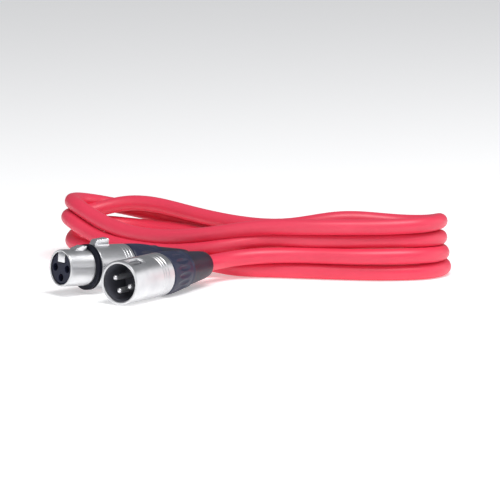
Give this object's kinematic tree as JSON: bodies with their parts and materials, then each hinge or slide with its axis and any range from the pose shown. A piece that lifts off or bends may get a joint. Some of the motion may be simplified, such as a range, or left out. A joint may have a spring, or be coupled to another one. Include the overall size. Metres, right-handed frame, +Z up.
{
  "type": "xlr cable coil",
  "caption": "Red microphone lead wound in a long flat coil, with a male and a latching female three-pole connector on its ends.",
  "frame": {"origin": "centre of the two connectors' footprint, on the surface the lead lies on", "axes": "+Z up; +X to the right along the coil, -Y the side that the connectors lie on"},
  "size_m": [0.1748, 0.1588, 0.0298],
  "materials": {
    "nickel_shell": "satin nickel plating",
    "bright_latch": "bright satin metal",
    "bright_contact": "polished",
    "gold_contact": "polished",
    "spring_steel": "satin",
    "black_plastic": "satin moulded plastic",
    "black_rubber": "matte",
    "white_nylon": "satin",
    "red_jacket": "satin flexible PVC",
    "red_core": "satin",
    "white_core": "satin",
    "copper": "twisted strands"
  },
  "bodies": {
    "lead": {"male_shell": "nickel_shell", "male_insert": "black_plastic", "male_pin_1": "bright_contact", "male_pin_2": "bright_contact", "male_pin_3": "bright_contact", "male_ground_tab": "bright_contact", "male_screen_wire": "copper", "male_hot_core": "red_core", "male_cold_core": "white_core", "female_shell": "nickel_shell", "female_ring": "black_rubber", "female_insert": "black_plastic", "female_contact_1": "gold_contact", "female_contact_2": "gold_contact", "female_contact_3": "gold_contact", "female_ground_contact": "bright_contact", "latch_pivot_pin": "bright_contact", "latch_spring": "spring_steel", "female_screen_wire": "copper", "female_hot_core": "red_core", "female_cold_core": "white_core", "cable_male_tail": "red_jacket", "cable_coil": "red_jacket", "cable_female_tail": "red_jacket"},
    "latch": {"female_latch": "bright_latch"},
    "male_collet": {"male_chuck": "white_nylon"},
    "male_nut": {"male_bushing": "black_plastic", "male_boot": "black_rubber"},
    "female_collet": {"female_chuck": "white_nylon"},
    "female_nut": {"female_bushing": "black_plastic", "female_boot": "black_rubber"}
  },
  "joints": [
    {"name": "latch_press", "type": "hinge", "parent": "lead", "child": "latch", "pos_m": [-0.00884, 0.00762, 0.01546], "axis": [0.6428, -0.766, 0], "range_deg": [0, 5.3], "stiffness_Nm_per_rad": 0.3, "springref_deg": -5.73, "deforming": ["latch_spring"]},
    {"name": "male_bushing_travel", "type": "slide", "parent": "lead", "child": "male_collet", "axis": [0.5519, 0.8338, -0.0096], "range_m": [0, 0.0045]},
    {"name": "male_bushing_unscrew", "type": "hinge", "parent": "male_collet", "child": "male_nut", "pos_m": [0.01567, -0.00328, 0.00945], "axis": [0.5519, 0.8338, -0.0096], "range_deg": [0, 1085]},
    {"name": "female_bushing_travel", "type": "slide", "parent": "lead", "child": "female_collet", "axis": [0.7642, 0.6412, -0.0698], "range_m": [0, 0.0045]},
    {"name": "female_bushing_unscrew", "type": "hinge", "parent": "female_collet", "child": "female_nut", "pos_m": [0.0019, 0.01663, 0.00947], "axis": [0.7642, 0.6412, -0.0698], "range_deg": [0, 1085]}
  ],
  "couplings": [
    {"joint": "male_bushing_unscrew", "follows": "male_bushing_travel", "rad_per_m": 4188.8},
    {"joint": "female_bushing_unscrew", "follows": "female_bushing_travel", "rad_per_m": 4188.8}
  ]
}
